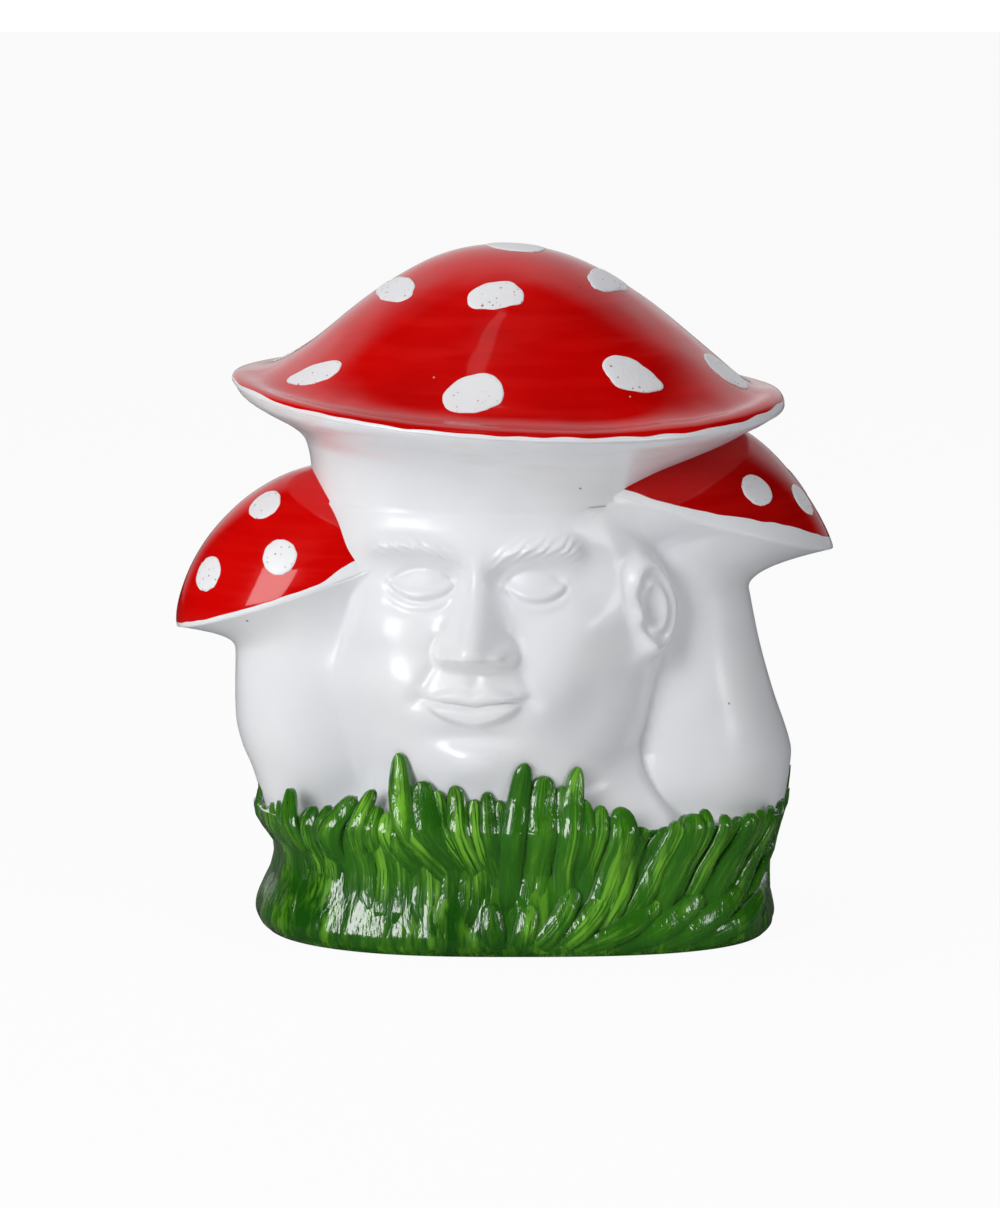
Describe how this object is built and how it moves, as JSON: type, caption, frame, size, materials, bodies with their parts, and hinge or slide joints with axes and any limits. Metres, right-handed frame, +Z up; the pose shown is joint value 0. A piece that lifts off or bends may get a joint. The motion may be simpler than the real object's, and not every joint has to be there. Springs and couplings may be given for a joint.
{
  "type": "mushroom ornament",
  "caption": "Hollow painted ceramic toadstool ornament: a wide-capped stem with a calm relief face, a small mushroom at each side and a ring of grass blades round an oval foot.",
  "frame": {"origin": "under the middle of the ornament's overall width and depth, on the surface that it stands on", "axes": "+Z up, -Y the front where the face looks out, +X the right-hand side seen from the front"},
  "size_m": [0.2104, 0.1502, 0.2199],
  "materials": {
    "white_glaze": "gloss white glaze over slip-cast earthenware",
    "red_glaze": "bright red gloss enamel over white glaze",
    "green_glaze": "gloss green enamel, brushed thin on the blades' edges",
    "white_enamel": "satin white enamel, dabbed on with a brush",
    "bisque": "unglazed earthenware"
  },
  "bodies": {
    "root": {"base_plate": "bisque", "face_stem": "white_glaze", "grass_base": "green_glaze", "left_cap": "red_glaze", "left_cap_spot_01": "white_enamel", "left_cap_spot_02": "white_enamel", "left_cap_spot_03": "white_enamel", "left_cap_spot_04": "white_enamel", "left_cap_spot_05": "white_enamel", "left_stem": "white_glaze", "main_cap": "red_glaze", "main_cap_spot_01": "white_enamel", "main_cap_spot_02": "white_enamel", "main_cap_spot_03": "white_enamel", "main_cap_spot_04": "white_enamel", "main_cap_spot_05": "white_enamel", "main_cap_spot_06": "white_enamel", "main_cap_spot_07": "white_enamel", "main_cap_spot_08": "white_enamel", "main_cap_spot_09": "white_enamel", "main_cap_spot_10": "white_enamel", "main_cap_spot_11": "white_enamel", "main_cap_spot_12": "white_enamel", "main_cap_spot_13": "white_enamel", "main_cap_spot_14": "white_enamel", "main_cap_spot_15": "white_enamel", "right_cap": "red_glaze", "right_cap_spot_01": "white_enamel", "right_cap_spot_02": "white_enamel", "right_cap_spot_03": "white_enamel", "right_cap_spot_04": "white_enamel", "right_stem": "white_glaze"}
  },
  "joints": []
}
